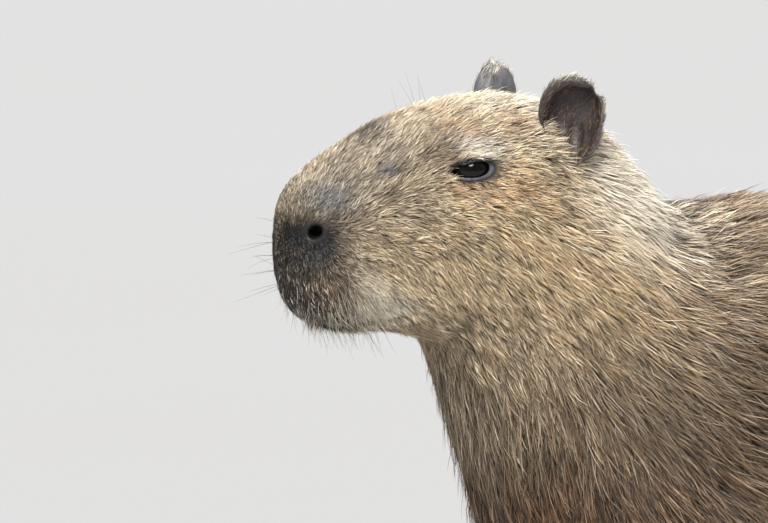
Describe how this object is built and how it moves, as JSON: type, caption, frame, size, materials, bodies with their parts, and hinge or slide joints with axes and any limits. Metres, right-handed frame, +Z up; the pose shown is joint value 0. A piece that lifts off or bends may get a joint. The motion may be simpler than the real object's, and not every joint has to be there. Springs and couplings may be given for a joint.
{
  "type": "capybara model",
  "caption": "Life-size standing capybara as a still model: blunt deep muzzle, small upright ears, heavy barrel body, short legs, and webbed feet flat on the ground.",
  "frame": {"origin": "on the ground, under the middle of the animal's outer box", "axes": "+Z up; the nose points along -X; the animal's left side is towards -Y"},
  "size_m": [1.0659, 0.3387, 0.6469],
  "materials": {
    "coat": "coarse brown-gold hair lying back, greyer on the muzzle",
    "muzzle": "short dark hair with pale tips",
    "bare_skin": "dark thinly haired skin",
    "eye": "wet and very dark brown",
    "nail": "dark horn, satin"
  },
  "bodies": {
    "root": {"head": "coat", "lower_jaw": "muzzle", "neck": "coat", "trunk": "coat", "tail_stub": "bare_skin", "ear_left": "bare_skin", "ear_right": "bare_skin", "eye_left": "eye", "eye_right": "eye", "foreleg_left": "coat", "foreleg_right": "coat", "hindleg_left": "coat", "hindleg_right": "coat", "forefoot_left": "bare_skin", "forefoot_right": "bare_skin", "hindfoot_left": "bare_skin", "hindfoot_right": "bare_skin", "claw_fore_left_1": "nail", "claw_fore_left_2": "nail", "claw_fore_left_3": "nail", "claw_fore_left_4": "nail", "claw_fore_right_1": "nail", "claw_fore_right_2": "nail", "claw_fore_right_3": "nail", "claw_fore_right_4": "nail", "claw_hind_left_1": "nail", "claw_hind_left_2": "nail", "claw_hind_left_3": "nail", "claw_hind_right_1": "nail", "claw_hind_right_2": "nail", "claw_hind_right_3": "nail"}
  },
  "joints": []
}
